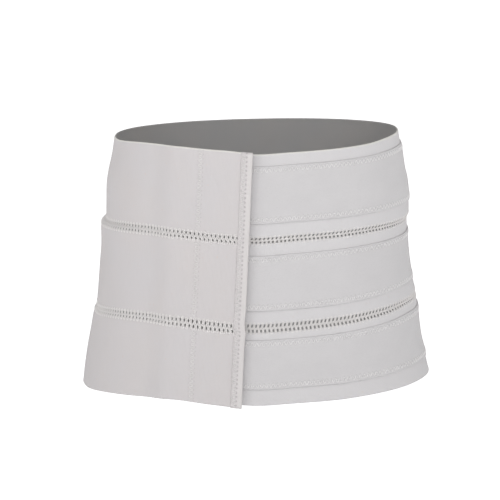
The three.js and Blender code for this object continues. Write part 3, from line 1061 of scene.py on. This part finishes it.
def hook_field():
    """Rows of small moulded nylon hooks on a woven backing."""
    m = Cloth("hook_field", specular=0.5)
    rows = m.math("MULTIPLY", m.wave(m.along, 1.2), m.wave(m.down, 1.0))
    points = m.spread(rows, 0.1, 0.8, 0.0, 1.0)
    backing = m.noise(0.6, (1, 2, 1), 2.0)
    # The backing between the hooks is darker than their tips: painted shade.
    base = m.blend(points, HOOK_BACKING_SHADE, HOOK_TIP)
    height = m.relief((points, 1.0), (backing, 0.3))
    return m.finish(base, m.spread(points, 0.0, 1.0, 0.75, 0.45), height, 0.4)


ELASTIC = elastic_webbing()
LOOP = loop_pile()
JOINING = spun_thread("joining_thread", JOINING_LIGHT, JOINING_GROOVE_SHADE)
STITCHES = spun_thread("stitching_thread", STITCH_LIGHT, STITCH_GROOVE_SHADE)
FLAP_STITCHES = spun_thread("flap_thread", FLAP_STITCH_LIGHT, FLAP_STITCH_GROOVE_SHADE)
TAPE = edge_tape()
HOOKS = hook_field()


def finish(piece, material):
    piece.data.materials.append(material)


# Where the two tapes end against the bands' top and bottom edges, in millimetres.
TAPE_OVERHANG = 0.2  # how far the flap's tape goes past the bands' top and bottom edges
END_TAPE_INSET = 0.6  # how far the hidden tape stays short of them

for name in BANDS:
    band = make_band(name)
    finish(band, ELASTIC)
    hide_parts(f"{name}_panel")
    pad = make_pad(name)
    finish(pad, LOOP)
    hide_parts(f"{name}_loop_pad")
    finish(make_pad_stitches(name), STITCHES)

for name in SEAMS:
    openwork = make_openwork(name)
    finish(openwork, JOINING)
    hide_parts(f"{name}_seam")

hook_tape = make_hook_strip()
finish(hook_tape, HOOKS)
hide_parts("hook_strip")

flap_tape = make_tape("flap_tape", free_edge, 1, True, TAPE_OVERHANG)
end_tape = make_tape("end_tape", under_end, -1, False, -END_TAPE_INSET)
for tape, node in ((flap_tape, "flap_binding"), (end_tape, "end_binding")):
    finish(tape, TAPE)
    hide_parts(node)
finish(make_flap_stitches(), FLAP_STITCHES)


# Studio. The world shines at SOFTBOX_STRENGTH up to the first height in SOFTBOX_TOP, as the upward part of
# the direction, and at CEILING_STRENGTH from the second on.
SOFTBOX_TOP = (0.3, 0.6)
SOFTBOX_STRENGTH = 0.52
CEILING_STRENGTH = 0.28
FLOOR_DROP = 0.6
FLOOR_SIZE = 60
GLOW_REACH = (1.0, 1.95)
GLOW_STRENGTH = 0.9
BACKDROP_RADIUS = 14.0
BACKDROP_HEIGHT = 12.0
BACKDROP_SIDES = 96
PAPER_WHITE = (0.95, 0.95, 0.95)
PAPER_GRAIN = (0.97, 0.97, 0.97)
FLOOR_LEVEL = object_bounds()[0].z - FLOOR_DROP
# name, place in metres, side of the square in metres, power in watts
LIGHTS = [
    ("left_light", (-2.4, -2.1, 1.6), 1.2, 18),
    ("right_light", (1.8, -2.5, 1.6), 1.6, 20.5),
    ("top_light", (-0.2, -1.7, 2.6), 1.0, 12),
]


def floor_paper():
    """Smooth white background paper, lit from below some way off the binder."""
    m = Cloth("studio_paper", specular=0.0)
    place = m.add("ShaderNodeTexCoord")
    grain = m.add("ShaderNodeTexNoise")
    grain.inputs["Scale"].default_value = 3.0
    m.join(place.outputs["Object"], grain.inputs["Vector"])
    base = m.blend(grain.outputs["Fac"], PAPER_WHITE, PAPER_GRAIN)
    reach = m.add("ShaderNodeVectorMath")
    reach.operation = "LENGTH"
    m.join(place.outputs["Object"], reach.inputs[0])
    glow = m.spread(reach.outputs["Value"], *GLOW_REACH, 0.0, GLOW_STRENGTH)
    m.shader.inputs["Emission Color"].default_value = (1, 1, 1, 1)
    m.join(glow, m.shader.inputs["Emission Strength"])
    return m.finish(base, m.spread(grain.outputs["Fac"], 0.0, 1.0, 0.95, 1.0), grain.outputs["Fac"], 0.01)


def make_floor():
    bpy.ops.mesh.primitive_plane_add(size=FLOOR_SIZE, location=(0, 0, FLOOR_LEVEL))
    floor = bpy.context.object
    floor.name = "studio_ground"
    floor.data.materials.append(floor_paper())


def backdrop_paper():
    """Even white paper that glows without lighting anything else."""
    paper = bpy.data.materials.new("backdrop_paper")
    paper.use_nodes = True
    shader = paper.node_tree.nodes["Principled BSDF"]
    shader.inputs["Base Color"].default_value = (*PAPER_WHITE, 1)
    shader.inputs["Roughness"].default_value = 1.0
    shader.inputs["Emission Color"].default_value = (1, 1, 1, 1)
    shader.inputs["Emission Strength"].default_value = 1.0
    paper.cycles.emission_sampling = "NONE"
    return paper


def make_backdrop():
    """A round white wall behind the floor on every side, which throws neither light nor shadow."""
    bpy.ops.mesh.primitive_cylinder_add(
        vertices=BACKDROP_SIDES,
        radius=BACKDROP_RADIUS,
        depth=BACKDROP_HEIGHT,
        end_fill_type="NOTHING",
        location=(0, 0, FLOOR_LEVEL + BACKDROP_HEIGHT / 2),
    )
    backdrop = bpy.context.object
    backdrop.name = "studio_backdrop"
    backdrop.data.materials.append(backdrop_paper())
    backdrop.visible_diffuse = False
    backdrop.visible_glossy = False
    backdrop.visible_shadow = False


def make_light(name, place, size, power):
    """A square lamp that shines towards the binder's middle."""
    light = bpy.data.lights.new(name, "AREA")
    light.shape = "SQUARE"
    light.size = size
    light.energy = power
    lamp = bpy.data.objects.new(name, light)
    bpy.context.scene.collection.objects.link(lamp)
    lamp.location = place
    lamp.rotation_euler = (-Vector(place)).to_track_quat("-Z", "Y").to_euler()


def make_world():
    """Tall softboxes all round at the binder's own height, under a dim ceiling."""
    world = bpy.data.worlds.new("studio_world")
    world.use_nodes = True
    nodes, links = world.node_tree.nodes, world.node_tree.links
    background = nodes["Background"]
    background.inputs["Color"].default_value = (1, 1, 1, 1)
    direction = nodes.new("ShaderNodeTexCoord")
    split = nodes.new("ShaderNodeSeparateXYZ")
    links.new(direction.outputs["Generated"], split.inputs[0])
    fall = nodes.new("ShaderNodeMapRange")
    fall.interpolation_type = "SMOOTHSTEP"
    for socket, number in zip(fall.inputs[1:5], (*SOFTBOX_TOP, SOFTBOX_STRENGTH, CEILING_STRENGTH)):
        socket.default_value = number
    links.new(split.outputs[2], fall.inputs["Value"])
    links.new(fall.outputs["Result"], background.inputs["Strength"])
    bpy.context.scene.world = world


# The camera stands where the photograph's did: almost level with the binder, a little above it.
CAMERA_DISTANCE = 3.058
CAMERA_ELEVATION = 9.17
FOCAL_PIXELS = 3102.0
FRAME_PIXELS = 500.0
SENSOR = 36.0
PHOTO_AXIS = 256.4
PHOTO_CENTRE_ROW = 262.5


def make_camera():
    camera_data = bpy.data.cameras.new("photo_camera")
    camera_data.sensor_width = SENSOR
    camera_data.sensor_height = SENSOR
    camera_data.lens = FOCAL_PIXELS / FRAME_PIXELS * SENSOR
    camera_data.shift_x = (FRAME_PIXELS / 2 - PHOTO_AXIS) / FRAME_PIXELS
    camera_data.shift_y = (PHOTO_CENTRE_ROW - FRAME_PIXELS / 2) / FRAME_PIXELS
    camera = bpy.data.objects.new("photo_camera", camera_data)
    bpy.context.scene.collection.objects.link(camera)
    tilt = math.radians(CAMERA_ELEVATION)
    camera.location = (0, -CAMERA_DISTANCE * math.cos(tilt), CAMERA_DISTANCE * math.sin(tilt))
    camera.rotation_euler = (math.pi / 2 - tilt, 0, 0)
    bpy.context.scene.camera = camera


make_floor()
make_backdrop()
make_world()
for light_row in LIGHTS:
    make_light(*light_row)
make_camera()
bpy.context.scene.view_settings.view_transform = "Standard"
